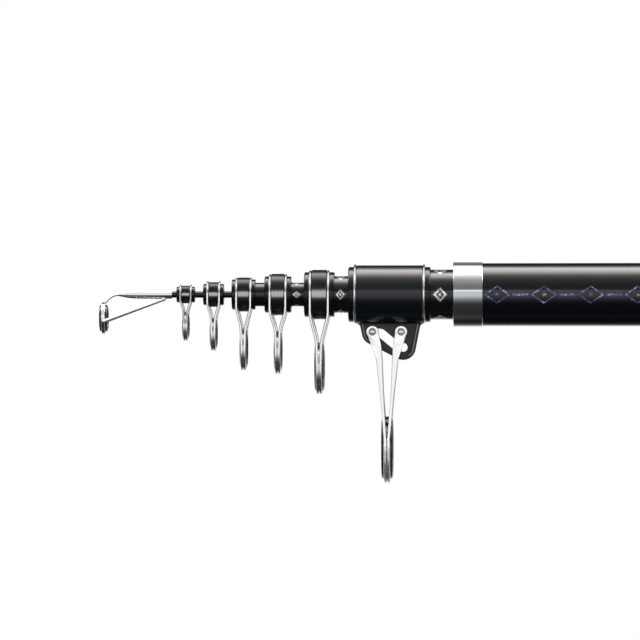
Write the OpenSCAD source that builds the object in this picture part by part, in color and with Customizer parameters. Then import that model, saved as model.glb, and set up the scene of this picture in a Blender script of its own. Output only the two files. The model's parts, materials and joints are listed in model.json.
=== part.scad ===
// Telescopic fishing rod, drawn collapsed, with its line guides upright.
// The rod lies along X, tip at -X, and the guides hang at -Z. The origin is on the axis, midway along the grip.
// Lengths are in millimetres. Guides 1 to 5 are counted from the tip: 1, 2 and 4 float, 3 and 5 are fixed.

/* [Rod] */
// Length of the butt section, from the front of its ferrule to the end of the grip
butt_len = 640; // [600:5:720]
// Radial play where a section's root locks in the mouth of the next one
lock_clear = 0.06; // [0.03:0.01:0.1]
// Gap between a glued or soldered piece and its seat
glue_gap = 0.03; // [0.02:0.01:0.06]
// Radial play of a floating guide at the place where it stops
float_play = 0.05; // [0.03:0.01:0.1]
// Gap between the section roots and the cushion they rest on
rest_gap = 0.3; // [0.3:0.1:1]
// Depth of the lip that covers the end of a blank
mouth_lip = 0.8; // [0.5:0.1:1.2]

/* [Blanks] */
// Outside diameter of the butt section at its mouth
butt_d = 22.9; // [21.8:0.1:23.6]
// Outside diameter of the butt section at its end
butt_end_d = 24.8; // [24:0.1:25.4]
// Wall of the butt section
butt_wall = 1.1; // [0.9:0.05:1.3]
// Outside diameter of the fourth section at its mouth
fourth_d = 18.1; // [17.4:0.1:18.6]
// Wall of the fourth section
fourth_wall = 1; // [0.8:0.05:1.2]
// Outside diameter of the third section at its mouth
third_d = 13.4; // [12.8:0.1:13.9]
// Wall of the third section
third_wall = 0.95; // [0.8:0.05:1.1]
// Outside diameter of the second section at its mouth
second_d = 8.6; // [8.2:0.1:9]
// Wall of the second section
second_wall = 0.9; // [0.75:0.05:1]
// Diameter of the tip section at its front end
tip_d = 2.3; // [2:0.1:2.5]
// Diameter of the tip section where its solid tip ends
tip_mid_d = 4.1; // [3.8:0.1:4.4]
// Length of the solid tip
tip_solid_len = 470; // [440:5:500]
// Wall of the hollow root of the tip section
tip_wall = 0.85; // [0.7:0.05:1]
// Length of the fourth section that stays in the butt when drawn out
fourth_lap = 65; // [50:1:90]
// Length of the third section that stays in the fourth when drawn out
third_lap = 58; // [45:1:80]
// Length of the second section that stays in the third when drawn out
second_lap = 50; // [40:1:70]
// Length of the tip section that stays in the second when drawn out
tip_lap = 42; // [30:1:60]

/* [Tip top] */
// Length of the socket tube
socket_len = 19.8; // [17:0.1:23]
// Outside diameter of the socket tube
socket_d = 3.2; // [3:0.1:3.6]
// Length of the socket that the tip is glued into
socket_depth = 12; // [10:0.5:13]
// Gap between the socket and the first floating guide
socket_gap = 1.7; // [1:0.1:4]
// Diameter over the ring holder
top_ring_d = 11.6; // [11:0.1:12.4]
// Distance of the ring's centre below the axis
top_drop = 8.65; // [8.4:0.05:9.4]
// Distance of the ring's centre in front of the socket tube
top_reach = 5.2; // [4.9:0.1:5.6]
// Diameter of the strap from the socket tube to the holder
top_wire_d = 0.95; // [0.8:0.05:1.1]
// Diameter of the two legs from the holder back to the socket tube
top_leg_d = 1.2; // [1:0.05:1.3]
// Width of the ring holder
top_holder_w = 1.4; // [1.2:0.1:1.7]
// Width of the ceramic ring
top_ring_w = 3; // [2.6:0.1:3.2]

/* [Guide 1] */
// Length of the sleeve
guide_1_len = 6.8; // [6:0.1:8]
// Outside diameter of the sleeve
guide_1_sleeve_d = 5.8; // [5.4:0.1:6]
// Length of the middle band
guide_1_band_len = 3; // [2.6:0.1:3.4]
// Outside diameter of the middle band
guide_1_band_d = 6.5; // [6.3:0.1:6.9]
// Diameter over the wire hoops
guide_1_hoop_d = 7.25; // [7:0.05:7.6]
// Diameter of the wire
guide_1_wire_d = 0.76; // [0.7:0.02:0.84]
// Diameter over the wires round the ring
guide_1_ring_d = 11.4; // [10.8:0.1:12]
// Distance of the ring's centre below the axis
guide_1_drop = 11.4; // [11:0.1:13]
// Gap behind the sleeve
guide_1_gap = 3; // [2:0.1:6]
// Share of the tip section's travel by which the guide drops back
guide_1_share = 0.28; // [0.25:0.01:0.31]

/* [Guide 2] */
// Length of the sleeve
guide_2_len = 7.6; // [6.8:0.1:9]
// Outside diameter of the sleeve
guide_2_sleeve_d = 7.8; // [7.4:0.1:8.2]
// Length of the middle band
guide_2_band_len = 3.4; // [3:0.1:3.8]
// Outside diameter of the middle band
guide_2_band_d = 9.1; // [8.6:0.1:9.4]
// Diameter over the wire hoops
guide_2_hoop_d = 9.75; // [9.4:0.05:10]
// Diameter of the wire
guide_2_wire_d = 0.84; // [0.76:0.02:0.92]
// Diameter over the wires round the ring
guide_2_ring_d = 12.8; // [12.2:0.1:13.4]
// Distance of the ring's centre below the axis
guide_2_drop = 14.35; // [13.5:0.05:16]
// Gap behind the sleeve
guide_2_gap = 2.9; // [2:0.1:6]
// Share of the tip section's travel by which the guide drops back
guide_2_share = 0.6; // [0.55:0.01:0.62]

/* [Guide 3] */
// Length of the sleeve
guide_3_len = 8.7; // [7.8:0.1:10]
// Outside diameter of the sleeve
guide_3_sleeve_d = 11.1; // [10.6:0.1:11.5]
// Length of the middle band
guide_3_band_len = 4.15; // [3.7:0.05:4.6]
// Outside diameter of the middle band
guide_3_band_d = 12.5; // [12:0.1:13]
// Diameter over the wire hoops
guide_3_hoop_d = 12.4; // [12.1:0.1:12.8]
// Diameter of the wire
guide_3_wire_d = 0.9; // [0.8:0.02:0.98]
// Diameter over the wires round the ring
guide_3_ring_d = 16.3; // [15.6:0.1:17]
// Distance of the ring's centre below the axis
guide_3_drop = 19.8; // [18.5:0.1:22]
// Gap behind the sleeve
guide_3_gap = 3.3; // [2:0.1:6]

/* [Guide 4] */
// Length of the sleeve
guide_4_len = 9.8; // [9:0.1:11]
// Outside diameter of the sleeve
guide_4_sleeve_d = 13.3; // [12.9:0.1:13.8]
// Length of the middle band
guide_4_band_len = 4.7; // [4.2:0.1:5.2]
// Outside diameter of the middle band
guide_4_band_d = 15.2; // [14.6:0.1:15.6]
// Diameter over the wire hoops
guide_4_hoop_d = 14.9; // [14.6:0.1:15.3]
// Diameter of the wire
guide_4_wire_d = 0.96; // [0.86:0.02:1.06]
// Diameter over the wires round the ring
guide_4_ring_d = 16.7; // [16:0.1:17.4]
// Distance of the ring's centre below the axis
guide_4_drop = 20.9; // [19.5:0.1:23]
// Gap behind the sleeve
guide_4_gap = 4.7; // [2:0.1:7]
// Share of the second section's travel by which the guide drops back
guide_4_share = 0.5; // [0.45:0.01:0.52]

/* [Guide 5] */
// Length of the sleeve
guide_5_len = 11.1; // [10:0.1:12.5]
// Outside diameter of the sleeve
guide_5_sleeve_d = 16.4; // [15.8:0.1:16.9]
// Length of the middle band
guide_5_band_len = 5.45; // [5:0.05:6]
// Outside diameter of the middle band
guide_5_band_d = 18.1; // [17.6:0.1:18.6]
// Diameter over the wire hoops
guide_5_hoop_d = 17.8; // [17.5:0.1:18.2]
// Diameter of the wire
guide_5_wire_d = 1.02; // [0.92:0.02:1.12]
// Diameter over the wires round the ring
guide_5_ring_d = 20; // [19:0.1:21]
// Distance of the ring's centre below the axis
guide_5_drop = 26.7; // [25:0.1:29]
// Gap behind the sleeve
guide_5_gap = 5; // [3:0.1:8]
// Distance by which the ceramic ring stands out on each side of its wires
guide_5_lip = 0.6; // [0.4:0.05:0.8]

/* [Guide rings] */
// Wall of the metal holder round a ceramic ring
holder_wall = 0.5; // [0.4:0.05:0.6]
// Depth to which the wires are soldered into the holder
holder_sink = 0.2; // [0.15:0.05:0.25]
// Distance by which the ceramic rings of guides 1 to 4 stand out on each side of their wires
ring_lip = 0.35; // [0.3:0.05:0.6]
// Radial height of the ceramic in the tip top and in guides 1 and 2
small_ceramic = 1.25; // [1:0.05:1.4]
// Radial height of the ceramic in guides 3 to 5
large_ceramic = 1.5; // [1.2:0.05:1.8]
// Gap between the two wires side by side round a ring
wire_gap = 0.16; // [0.14:0.02:0.24]

/* [Folding guide] */
// Length of the sleeve
fold_len = 30.1; // [28.5:0.1:32]
// Outside diameter of the sleeve
fold_sleeve_d = 20.2; // [19.8:0.1:20.6]
// Length of the middle band
fold_band_len = 24.2; // [23.6:0.1:24.6]
// Outside diameter of the middle band
fold_band_d = 21.4; // [21.1:0.1:21.8]
// Diameter of the trim rings' wire
fold_trim_d = 0.9; // [0.7:0.05:1]
// Gap behind the sleeve
fold_gap = 8.2; // [6:0.1:12]
// Diameter over the stirrups round the ring
fold_ring_d = 25.6; // [24.6:0.1:26.6]
// Distance of the ring's centre below the axis
fold_drop = 56.2; // [53:0.1:59]
// Distance of the ring in front of the sleeve's middle
fold_ring_x = 0.8; // [0.4:0.1:1.2]
// Radial height of the ceramic
fold_ceramic = 1.8; // [1.5:0.1:2.1]
// Width of the ceramic
fold_ceramic_w = 4.2; // [3.6:0.1:4.6]
// Diameter of the stirrups' rod round the ring
stirrup_d = 1.1; // [1:0.05:1.2]
// Thickness of the stirrups' flat legs
leg_t = 0.7; // [0.6:0.05:0.75]
// Width of a leg at its knee
knee_w = 3.6; // [3.4:0.1:4.2]
// Width of a leg at its waist
waist_w = 2.3; // [2:0.1:2.6]
// Distance of the legs' waists from the ring's plane
waist_x = 2.9; // [2.5:0.1:3.3]
// Width of a leg halfway from its knee to the ring
slim_w = 1.3; // [1.1:0.05:1.6]
// Radius of the eyelets
eyelet_r = 2.3; // [2.2:0.1:2.5]
// Distance of the pivot rivet behind the sleeve's middle
pivot_x = 4.25; // [4:0.05:4.5]
// Distance of the front rivets in front of the sleeve's middle
front_rivet_x = 6.25; // [6:0.05:6.5]
// Distance of the rivets below the axis
rivet_drop = 13.65; // [13.4:0.05:13.9]
// Radius of the rivets' shanks
rivet_r = 1.1; // [1:0.05:1.2]
// Radius of the rivets' heads
rivet_head_r = 1.4; // [1.3:0.05:1.85]
// Height of the rivets' heads
rivet_head_h = 0.8; // [0.6:0.05:1]
// Running clearance of the pivot rivet in the bracket
pivot_clear = 0.05; // [0.03:0.01:0.1]
// Thickness of the bracket
bracket_t = 2.6; // [2.2:0.1:3]
// Width of the rim along the bracket's edge
bracket_rim = 0.8; // [0.5:0.05:1]
// Depth of the rim below the bracket's face
bracket_step = 0.45; // [0.3:0.05:0.6]
// Radius of the fillets where the bracket meets the band
flare_r = 1.4; // [1:0.1:1.6]
// Gap between the bracket and the legs
bracket_gap = 0.32; // [0.3:0.02:0.5]
// Width of the bracket's bent slot
slot_w = 3.2; // [2.8:0.1:3.4]

/* [Butt fittings] */
// Length of the ferrule at the mouth
ferrule_len = 10.8; // [9:0.1:13]
// Outside diameter of the ferrule
ferrule_d = 23.7; // [23.6:0.1:24.2]
// Length of the check ring in front of the reel seat
fore_check_len = 9; // [6:0.5:12]
// Length of the reel seat
seat_len = 118; // [112:1:126]
// Outside diameter of the reel seat's tube
seat_d = 27.6; // [27.2:0.1:28]
// Depth of the flat for the reel's foot below the axis
flat_drop = 12.8; // [12.7:0.05:13]
// Length of each hood
hood_len = 20; // [18:0.5:22]
// Depth of the pocket in each hood
pocket_depth = 14; // [12:0.5:15]
// Width of the pocket
pocket_w = 13.6; // [12.5:0.1:14.5]
// Depth of the pocket's floor below the axis
pocket_drop = 18.7; // [18.3:0.1:19]
// Wall of the hoods
hood_wall = 1.8; // [1.5:0.1:2.2]
// Clear length between the hoods when open
foot_gap = 62; // [58:0.5:64]
// Sliding play of the moving hood and the nut on the seat
hood_play = 0.3; // [0.3:0.05:0.45]
// Length of the lock nut
nut_len = 10; // [8:0.5:11]
// Outside diameter of the lock nut
nut_d = 31; // [30.4:0.1:32]
// Number of flutes round the nut
nut_flutes = 24; // [16:1:30]
// Length of the check ring between seat and grip
rear_check_len = 6; // [4:0.5:9]
// Length of the rear grip
grip_len = 245; // [220:1:270]
// Outside diameter of the rear grip
grip_d = 26.8; // [26.4:0.1:27.4]

/* [Butt cap] */
// Length of the insert glued in the butt's end
insert_len = 14; // [12:0.5:18]
// Wall of the insert
insert_wall = 0.65; // [0.6:0.01:0.66]
// Length of the plug inside the insert
plug_len = 12; // [9:0.5:12]
// Radial play of the plug's thread in the insert
plug_play = 0.08; // [0.05:0.01:0.1]
// Thickness of the plug's flange
flange_t = 2; // [1.5:0.1:2.5]
// Thickness of the cushion disc
cushion_t = 3; // [2:0.5:5]
// Length of the rubber cap behind the grip
cap_len = 11; // [9:0.5:14]
// Distance of the rubber cap's side below the grip's surface
cap_inset = 0.2; // [0.1:0.05:0.5]
// Diameter of the O-ring's cord
oring_d = 1.2; // [1:0.1:1.4]

/* [Hidden] */
$fn = 96;

// Stations along the rod
grip_x1 = grip_len / 2;
grip_x0 = -grip_len / 2;
mouth_x = grip_x1 - butt_len;
rest_x = grip_x1 - plug_len - cushion_t - rest_gap;
fold_x = mouth_x - fold_gap - fold_len;
guide_5_x = fold_x - guide_5_gap - guide_5_len;
guide_4_x = guide_5_x - guide_4_gap - guide_4_len;
guide_3_x = guide_4_x - guide_3_gap - guide_3_len;
guide_2_x = guide_3_x - guide_2_gap - guide_2_len;
guide_1_x = guide_2_x - guide_1_gap - guide_1_len;
socket_x1 = guide_1_x - socket_gap;
socket_x0 = socket_x1 - socket_len;
tip_x = socket_x1 - socket_depth;
top_x = socket_x0 - top_reach;
fold_mid = fold_x + fold_len / 2;
seat_x1 = grip_x0 - rear_check_len - 2 * glue_gap;
seat_x0 = seat_x1 - seat_len;

// Travel of each section
fourth_travel = rest_x - mouth_x - mouth_lip - fourth_lap;
third_travel = rest_x - fold_x - mouth_lip - third_lap;
second_travel = rest_x - guide_5_x - mouth_lip - second_lap;
tip_travel = rest_x - guide_3_x - mouth_lip - tip_lap;

// Outside diameters of the blanks: each root fits the mouth of the next section over its lap
function taper(d, len, lap, mouth_id) = (mouth_id - 2 * lock_clear - d) / (len - lap);
butt_taper = (butt_end_d - butt_d) / butt_len;
fourth_taper = taper(fourth_d, rest_x - fold_x - mouth_lip, fourth_lap, butt_d - 2 * butt_wall);
third_taper = taper(third_d, rest_x - guide_5_x - mouth_lip, third_lap, fourth_d - 2 * fourth_wall);
second_taper = taper(second_d, rest_x - guide_3_x - mouth_lip, second_lap, third_d - 2 * third_wall);
tip_front_taper = (tip_mid_d - tip_d) / tip_solid_len;
tip_root_taper = taper(tip_mid_d, rest_x - tip_x - tip_solid_len, tip_lap, second_d - 2 * second_wall);
function butt_od(x) = butt_d + butt_taper * (x - mouth_x);
function fourth_od(x) = fourth_d + fourth_taper * (x - fold_x - mouth_lip);
function third_od(x) = third_d + third_taper * (x - guide_5_x - mouth_lip);
function second_od(x) = second_d + second_taper * (x - guide_3_x - mouth_lip);
function tip_od(x) = x < tip_x + tip_solid_len
    ? tip_d + tip_front_taper * (x - tip_x)
    : tip_mid_d + tip_root_taper * (x - tip_x - tip_solid_len);

// Bores of the guide sleeves
guide_1_bore = tip_od(guide_1_x + guide_1_len + guide_1_share * tip_travel) / 2 + float_play;
guide_2_bore = tip_od(guide_2_x + guide_2_len + guide_2_share * tip_travel) / 2 + float_play;
guide_3_bore = second_od(guide_3_x + guide_3_len) / 2 + glue_gap;
guide_4_bore = second_od(guide_4_x + guide_4_len + guide_4_share * second_travel) / 2 + float_play;
guide_5_bore = third_od(guide_5_x + guide_5_len) / 2 + glue_gap;

// Guides 1 to 5 in order, and what stands in each place of a row
GUIDES = [
    [guide_1_x, guide_1_len, guide_1_sleeve_d / 2, guide_1_band_len, guide_1_band_d / 2,
        guide_1_hoop_d / 2, guide_1_wire_d / 2, guide_1_ring_d / 2, guide_1_drop,
        guide_1_bore, guide_1_bore, small_ceramic, ring_lip],
    [guide_2_x, guide_2_len, guide_2_sleeve_d / 2, guide_2_band_len, guide_2_band_d / 2,
        guide_2_hoop_d / 2, guide_2_wire_d / 2, guide_2_ring_d / 2, guide_2_drop,
        guide_2_bore, guide_2_bore, small_ceramic, ring_lip],
    [guide_3_x, guide_3_len, guide_3_sleeve_d / 2, guide_3_band_len, guide_3_band_d / 2,
        guide_3_hoop_d / 2, guide_3_wire_d / 2, guide_3_ring_d / 2, guide_3_drop,
        guide_3_bore, second_d / 2 - second_wall + 0.1, large_ceramic, ring_lip],
    [guide_4_x, guide_4_len, guide_4_sleeve_d / 2, guide_4_band_len, guide_4_band_d / 2,
        guide_4_hoop_d / 2, guide_4_wire_d / 2, guide_4_ring_d / 2, guide_4_drop,
        guide_4_bore, guide_4_bore, large_ceramic, ring_lip],
    [guide_5_x, guide_5_len, guide_5_sleeve_d / 2, guide_5_band_len, guide_5_band_d / 2,
        guide_5_hoop_d / 2, guide_5_wire_d / 2, guide_5_ring_d / 2, guide_5_drop,
        guide_5_bore, third_d / 2 - third_wall + 0.1, large_ceramic, guide_5_lip]
];
function g_x(i) = GUIDES[i][0];
function g_len(i) = GUIDES[i][1];
function g_mid(i) = g_x(i) + g_len(i) / 2;
function g_sleeve_r(i) = GUIDES[i][2];
function g_band_len(i) = GUIDES[i][3];
function g_band_r(i) = GUIDES[i][4];
function g_hoop_r(i) = GUIDES[i][5] - g_wire_r(i);
function g_wire_r(i) = GUIDES[i][6];
function g_ring_r(i) = GUIDES[i][7] - g_wire_r(i);
function g_drop(i) = GUIDES[i][8];
function g_bore(i) = GUIDES[i][9];
function g_lip_bore(i) = GUIDES[i][10];
function g_ceramic(i) = GUIDES[i][11];
function g_hoop_x(i) = g_band_len(i) / 2 + g_wire_r(i) + glue_gap;
function g_wire_x(i) = g_wire_r(i) + wire_gap / 2;
function g_holder_r(i) = g_ring_r(i) - g_wire_r(i) + holder_sink;
function g_ring_w(i) = 2 * (g_wire_x(i) + g_wire_r(i) + GUIDES[i][12]);

// Tip top
top_wire_r = top_wire_d / 2;
top_holder_r = top_ring_d / 2;
top_holder_wall = 0.85;

// Folding guide
stirrup_r = stirrup_d / 2;
stirrup_R = fold_ring_d / 2 - stirrup_r;
stirrup_x = stirrup_r + wire_gap / 2;
bezel_r = stirrup_R - stirrup_r - glue_gap;
bezel_w = 4 * stirrup_r + wire_gap;
ring_mid = fold_mid - fold_ring_x;
pivot = [fold_mid + pivot_x, -rivet_drop];
front_rivet = [fold_mid - front_rivet_x, -rivet_drop];
leg_y = bracket_t / 2 + bracket_gap + leg_t / 2;
knee_drop = 5;
knee_share = 0.55;
waist_run = 5.5;
slot_end = [fold_mid + 5, -rivet_drop - 5.65];
slot_path = [
    front_rivet, front_rivet + [3.25, -0.55], front_rivet + [8.45, -4.85], slot_end
];
lobe_r = 4.6;
nose_r = 4.45;
nose = front_rivet + [0.55, -0.25];
bracket_front = fold_mid - 11.5;
bracket_rear = fold_mid + 11.9;
bracket_top = 8;

// Reel seat and butt
seat_r = seat_d / 2;
hood_bore = seat_r + hood_play;
fixed_hood_x = seat_x0;
moving_hood_x = fixed_hood_x + hood_len + foot_gap;
nut_x = moving_hood_x + hood_len + rest_gap;
insert_r = (butt_od(grip_x1 - insert_len) - 2 * butt_wall) / 2 - glue_gap;
insert_bore = insert_r - insert_wall;
plug_r = insert_bore - plug_play;
flange_r = butt_end_d / 2;
cap_r = grip_d / 2 - cap_inset;

// Colours
carbon = [0.06, 0.06, 0.07];
black = [0.1, 0.1, 0.1];
bright = [0.8, 0.8, 0.82];
steel = [0.6, 0.6, 0.62];
ceramic = [0.22, 0.22, 0.24];
charcoal = [0.2, 0.2, 0.21];
rubber = [0.13, 0.13, 0.13];

// A body of revolution about X, from [x, radius] points
module lathe(points) {
    rotate([0, 90, 0])
        rotate_extrude()
            polygon([for (p = points) [p[1], p[0]]]);
}

// A tube about X with its four edges rounded
module round_tube(x0, x1, r0, r1, e) {
    rotate([0, 90, 0])
        rotate_extrude() {
            translate([r0, x0 + e])
                square([r1 - r0, x1 - x0 - 2 * e]);
            translate([r0, x0])
                square([r1 - r0 - e, x1 - x0]);
            for (x = [x0 + e, x1 - e])
                translate([r1 - e, x])
                    circle(e);
        }
}

// Angle at which the outer tangent from one circle to another leaves them on the right-hand side
function tangent(c0, r0, c1, r1) = atan2(c1[1] - c0[1], c1[0] - c0[0]) - acos((r0 - r1) / norm(c1 - c0));
function at(c, r, a) = c + r * [cos(a), sin(a)];

// A straight run of wire; its ends are held back and a ball joins it to the next run
module run(a, b, r) {
    d = b - a;
    len = norm(d);
    translate(a)
        rotate([0, acos(d[2] / len), atan2(d[1], d[0])])
            translate([0, 0, r / 5])
                cylinder(r = r, h = len - 2 * r / 5);
}

module ball(p, r) {
    translate(p)
        sphere(r * 1.06);
}

// An arc of wire about X at [x, 0, z]; angles run from straight down towards +Y
module arc(x, z, big_r, r, from, sweep) {
    back = r / 5 / big_r * 180 / PI;
    translate([x, 0, z])
        rotate([0, 90, 0])
            rotate([0, 0, from + back])
                rotate_extrude(angle = sweep - 2 * back)
                    translate([big_r, 0])
                        circle(r);
}

// A ceramic ring about X: a bead with flat walls outside and inside, and full round sides
module ceramic_ring(x, z, outer_r, height, w) {
    flat = w / 2 - height / 2;
    color(ceramic)
        translate([x, 0, z])
            rotate([0, 90, 0])
                rotate_extrude() {
                    translate([outer_r - height, -flat])
                        square([height, 2 * flat]);
                    for (s = [-1, 1])
                        translate([outer_r - height / 2, s * flat])
                            circle(height / 2);
                }
}

// The blanks: each root runs parallel to the bore that it locks in
module tip_section() {
    solid_x = tip_x + tip_solid_len;
    lock_x = rest_x - tip_lap;
    root_r = tip_od(lock_x) / 2 + second_taper * tip_lap / 2;
    color(carbon)
        lathe([
            [tip_x, 0], [tip_x, tip_d / 2], [solid_x, tip_mid_d / 2], [lock_x, tip_od(lock_x) / 2],
            [rest_x, root_r], [rest_x, root_r - tip_wall], [lock_x, tip_od(lock_x) / 2 - tip_wall],
            [solid_x, tip_mid_d / 2 - tip_wall], [solid_x, 0]
        ]);
}

module blank(x0, r0, lock_x, lock_r, x1, r1, wall) {
    color(carbon)
        lathe([
            [x0, r0 - wall], [x0, r0], [lock_x, lock_r], [x1, r1],
            [x1, r1 - wall], [lock_x, lock_r - wall]
        ]);
}

module second_section() {
    lock_x = rest_x - second_lap;
    lock_r = second_od(lock_x) / 2;
    root_r = lock_r + third_taper * second_lap / 2;
    blank(guide_3_x + mouth_lip, second_d / 2, lock_x, lock_r, rest_x, root_r, second_wall);
}

module third_section() {
    lock_x = rest_x - third_lap;
    lock_r = third_od(lock_x) / 2;
    root_r = lock_r + fourth_taper * third_lap / 2;
    blank(guide_5_x + mouth_lip, third_d / 2, lock_x, lock_r, rest_x, root_r, third_wall);
}

module fourth_section() {
    lock_x = rest_x - fourth_lap;
    lock_r = fourth_od(lock_x) / 2;
    root_r = lock_r + butt_taper * fourth_lap / 2;
    blank(fold_x + mouth_lip, fourth_d / 2, lock_x, lock_r, rest_x, root_r, fourth_wall);
}

module butt_section() {
    x0 = mouth_x + mouth_lip;
    r0 = butt_od(x0) / 2;
    r1 = butt_end_d / 2;
    color(carbon)
        lathe([[x0, r0 - butt_wall], [x0, r0], [grip_x1, r1], [grip_x1, r1 - butt_wall]]);
}

// The tip top: socket tube with a pointed front, a strap down to the holder and two legs back to the tube
module tip_top_frame() {
    bore = tip_od(socket_x1) / 2 + glue_gap;
    r = socket_d / 2;
    leg_r = top_leg_d / 2;
    root = 0.6;
    strap_run = top_reach - top_holder_w / 3 + root;
    strap_fall = top_drop - top_holder_r + 0.33;
    strap_r = (strap_run * strap_run + strap_fall * strap_fall) / (2 * strap_fall);
    color(bright)
        union() {
            lathe([
                [socket_x0, 0], [socket_x0, top_wire_r * 1.2], [socket_x0 + 4, r * 0.86], [socket_x0 + 6.5, r],
                [socket_x1, r], [socket_x1, bore], [tip_x - glue_gap, bore], [tip_x - glue_gap, 0]
            ]);
            translate([socket_x0 + root, 0, -strap_r])
                rotate([90, 0, 0])
                    rotate([0, 0, 90])
                        rotate_extrude(angle = 2 * atan(strap_fall / strap_run))
                            translate([strap_r, 0])
                                circle(top_wire_r);
            round_tube_at(top_x, -top_drop, top_holder_w, top_holder_r - top_holder_wall, top_holder_r, 0.3);
            for (s = [-1, 1]) {
                weld = [socket_x1 - 2.8, s * r / 2, -r - leg_r * 0.15];
                side = [top_x + 0.3, s * top_holder_r * 0.985, -top_drop - top_holder_r * 0.2];
                run(weld, side, leg_r);
                ball(weld, leg_r);
                ball(side, leg_r);
            }
        }
}

// A rounded ring about X, set at a given height
module round_tube_at(x, z, w, r0, r1, e) {
    translate([x, 0, z])
        round_tube(-w / 2, w / 2, r0, r1, e);
}

module tip_top_ring() {
    outer_r = top_holder_r - top_holder_wall - glue_gap;
    ceramic_ring(top_x, -top_drop, outer_r, small_ceramic, top_ring_w);
}

// Guides 1 to 5
module guide_sleeve(i) {
    seat_r = min(g_sleeve_r(i) + 0.1, g_hoop_r(i) - g_wire_r(i) - glue_gap);
    color(black)
        difference() {
            round_tube(g_x(i), g_x(i) + g_len(i), g_lip_bore(i), g_sleeve_r(i), 0.45);
            if (g_bore(i) > g_lip_bore(i))
                translate([g_x(i) + mouth_lip - glue_gap, 0, 0])
                    rotate([0, 90, 0])
                        cylinder(r = g_bore(i), h = g_len(i));
            for (s = [-1, 1])
                translate([g_mid(i) + s * g_hoop_x(i), 0, 0])
                    lathe([
                        [-g_wire_r(i) - glue_gap, seat_r], [-g_wire_r(i) - glue_gap, seat_r + 3],
                        [g_wire_r(i) + glue_gap, seat_r + 3], [g_wire_r(i) + glue_gap, seat_r]
                    ]);
        }
}

module guide_band(i) {
    half = g_band_len(i) / 2;
    color(black)
        round_tube(g_mid(i) - half, g_mid(i) + half, g_sleeve_r(i) + glue_gap, g_band_r(i), 0.15);
}

// Two wire loops: each passes over the sleeve, comes in under it and runs round the ring beside the other
module guide_frame(i) {
    r = g_wire_r(i);
    a = tangent([0, 0], g_hoop_r(i), [0, -g_drop(i)], g_ring_r(i));
    hoop_end = at([0, 0], g_hoop_r(i), a);
    ring_end = at([0, -g_drop(i)], g_ring_r(i), a);
    bend_z = r - g_sleeve_r(i);
    meet_z = g_ring_r(i) + r - g_drop(i);
    bend_y = hoop_end[0] + (ring_end[0] - hoop_end[0]) * (bend_z - hoop_end[1]) / (ring_end[1] - hoop_end[1]);
    meet_y = hoop_end[0] + (ring_end[0] - hoop_end[0]) * (meet_z - hoop_end[1]) / (ring_end[1] - hoop_end[1]);
    near = 450 + a;
    color(bright)
        union() {
            round_tube_at(
                g_mid(i), -g_drop(i), 2 * (g_wire_x(i) + r), g_holder_r(i) - holder_wall, g_holder_r(i), 0.12
            );
            for (s = [-1, 1]) {
                hoop_x = g_mid(i) + s * g_hoop_x(i);
                wire_x = g_mid(i) + s * g_wire_x(i);
                arc(hoop_x, 0, g_hoop_r(i), r, 360 - near, 2 * near - 360);
                arc(wire_x, -g_drop(i), g_ring_r(i), r, near, 2 * (360 - near));
                for (t = [-1, 1]) {
                    p0 = [hoop_x, -t * hoop_end[0], hoop_end[1]];
                    p1 = [hoop_x, -t * bend_y, bend_z];
                    p2 = [wire_x, -t * meet_y, meet_z];
                    p3 = [wire_x, -t * ring_end[0], ring_end[1]];
                    run(p0, p1, r);
                    run(p1, p2, r);
                    run(p2, p3, r);
                    for (p = [p0, p1, p2, p3])
                        ball(p, r);
                }
            }
        }
}

module guide_ring(i) {
    outer_r = g_holder_r(i) - holder_wall - glue_gap;
    ceramic_ring(g_mid(i), -g_drop(i), outer_r, g_ceramic(i), g_ring_w(i));
}

// The folding guide
module fold_sleeve() {
    bore = fourth_od(fold_x + fold_len) / 2 + glue_gap;
    lip_bore = fourth_d / 2 - fourth_wall + 0.1;
    color(black)
        difference() {
            round_tube(fold_x, fold_x + fold_len, lip_bore, fold_sleeve_d / 2, 0.6);
            translate([fold_x + mouth_lip - glue_gap, 0, 0])
                rotate([0, 90, 0])
                    cylinder(r = bore, h = fold_len);
        }
}

module fold_band() {
    half = fold_band_len / 2;
    color(black)
        round_tube(fold_mid - half, fold_mid + half, fold_sleeve_d / 2 + glue_gap, fold_band_d / 2, 0.2);
}

module fold_trim(s) {
    color(bright)
        translate([fold_mid + s * (fold_band_len / 2 + glue_gap + fold_trim_d / 2), 0, 0])
            rotate([0, 90, 0])
                rotate_extrude()
                    translate([fold_sleeve_d / 2 + glue_gap + fold_trim_d / 2, 0])
                        circle(fold_trim_d / 2);
}

// Outline of the bracket in the XZ plane, drawn in by a margin
module bracket_outline(margin) {
    p0 = [bracket_front + margin, -bracket_top];
    p3 = [bracket_rear - margin, -bracket_top];
    r1 = nose_r - margin;
    r2 = lobe_r - margin;
    a1 = tangent(p0, 0, nose, r1);
    a2 = tangent(nose, r1, slot_end, r2);
    a3 = tangent(slot_end, r2, p3, 0);
    translate(nose)
        circle(r1);
    translate(slot_end)
        circle(r2);
    polygon([
        p0, at(nose, r1, a1), nose, at(nose, r1, a2), at(slot_end, r2, a2), slot_end, at(slot_end, r2, a3), p3
    ]);
}

// A fillet between the band and an edge of the bracket that runs down from p to q; s is the side it lies on
module flare(p, q, s) {
    top_z = -fold_band_d / 2;
    d = (q - p) / norm(q - p);
    n = s * [-d[1], d[0]];
    e = p + d * (top_z - p[1]) / d[1];
    foot = e - d * flare_r * (1 + n[1]) / d[1];
    c = foot + n * flare_r;
    difference() {
        polygon([e - n * bracket_rim, foot - n * bracket_rim, foot, c, [c[0], top_z]]);
        translate(c)
            circle(flare_r);
    }
}

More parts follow.
